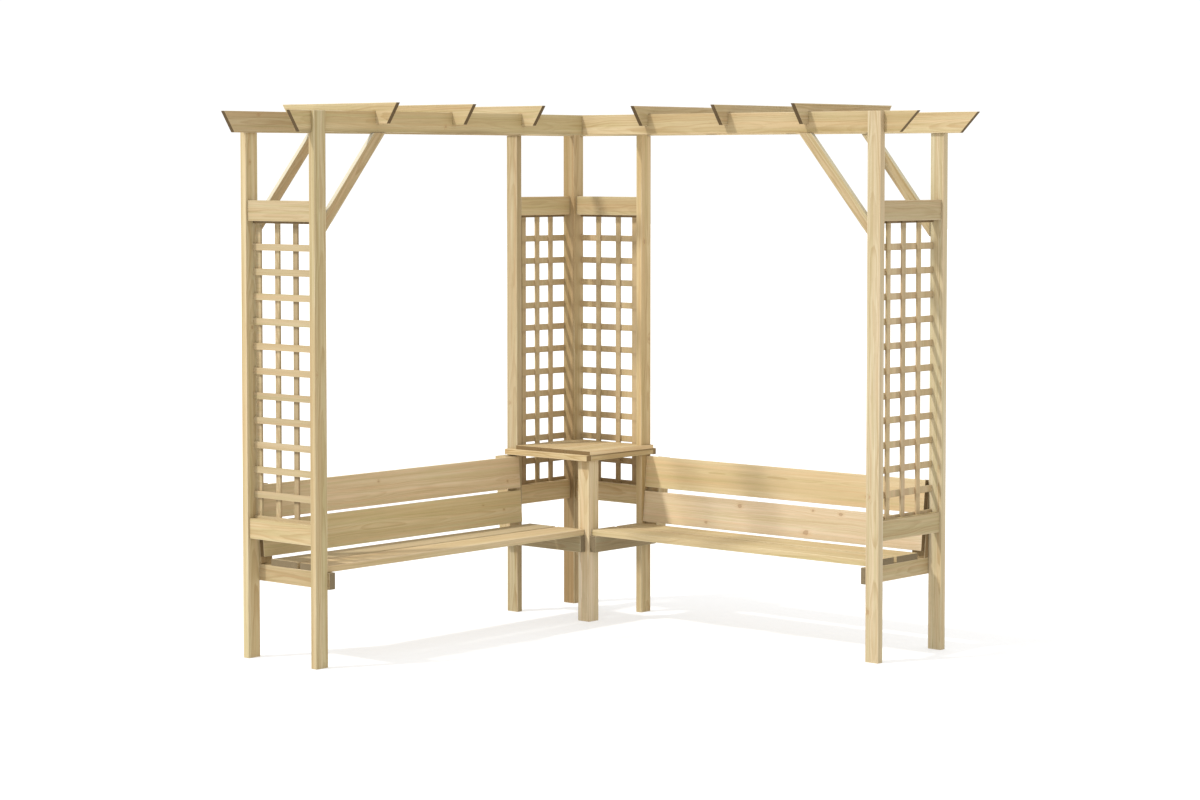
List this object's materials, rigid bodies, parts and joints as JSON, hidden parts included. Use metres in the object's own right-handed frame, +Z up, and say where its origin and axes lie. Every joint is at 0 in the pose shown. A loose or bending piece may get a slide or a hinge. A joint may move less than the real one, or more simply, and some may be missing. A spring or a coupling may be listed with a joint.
{
  "type": "corner arbour seat",
  "caption": "Timber corner arbour with two reclined benches at a right angle, a square corner table, trellis ends and an open rafter roof.",
  "frame": {"origin": "middle of the bounding box in plan, at ground level under the posts' feet", "axes": "+Z up; +X along the right-hand bench, away from the inner corner post; +Y from the left-hand end of the other bench towards the inner corner post, so the open side of the right angle faces +X and -Y"},
  "size_m": [2.119, 2.094, 2.042],
  "materials": {
    "frame_timber": "planed pressure-treated softwood, matt",
    "boards": "planed pressure-treated softwood boards, matt",
    "trellis_laths": "fine-sawn pressure-treated softwood laths, matt"
  },
  "bodies": {
    "root": {"back_board_left_lower": "boards", "back_board_left_upper": "boards", "back_board_right_lower": "boards", "back_board_right_upper": "boards", "back_upright_left_corner": "frame_timber", "back_upright_left_outer": "frame_timber", "back_upright_right_corner": "frame_timber", "back_upright_right_outer": "frame_timber", "beam_back_left": "frame_timber", "beam_back_right": "frame_timber", "beam_front_left": "frame_timber", "beam_front_right": "frame_timber", "bearer_corner_left": "frame_timber", "bearer_corner_right": "frame_timber", "bearer_left_end": "frame_timber", "bearer_right_end": "frame_timber", "brace_left_back": "frame_timber", "brace_left_front": "frame_timber", "brace_right_back": "frame_timber", "brace_right_front": "frame_timber", "post_corner_back": "frame_timber", "post_corner_left": "frame_timber", "post_corner_right": "frame_timber", "post_left_inner": "frame_timber", "post_left_outer": "frame_timber", "post_right_inner": "frame_timber", "post_right_outer": "frame_timber", "post_table_front": "frame_timber", "rafter_left_a": "frame_timber", "rafter_left_b": "frame_timber", "rafter_left_c": "frame_timber", "rafter_right_a": "frame_timber", "rafter_right_b": "frame_timber", "rafter_right_c": "frame_timber", "rail_bottom_corner_left": "frame_timber", "rail_bottom_corner_right": "frame_timber", "rail_bottom_left_end": "frame_timber", "rail_bottom_right_end": "frame_timber", "rail_top_corner_left": "frame_timber", "rail_top_corner_right": "frame_timber", "rail_top_left_end": "frame_timber", "rail_top_right_end": "frame_timber", "seat_left_back": "boards", "seat_left_front": "boards", "seat_right_back": "boards", "seat_right_front": "boards", "table_batten_back": "frame_timber", "table_board_back": "boards", "table_board_front": "boards", "table_board_middle": "boards", "table_strip_front": "frame_timber", "table_strip_left": "frame_timber", "table_strip_right": "frame_timber", "trellis_corner_left": "trellis_laths", "trellis_corner_right": "trellis_laths", "trellis_left_end": "trellis_laths", "trellis_right_end": "trellis_laths"}
  },
  "joints": []
}
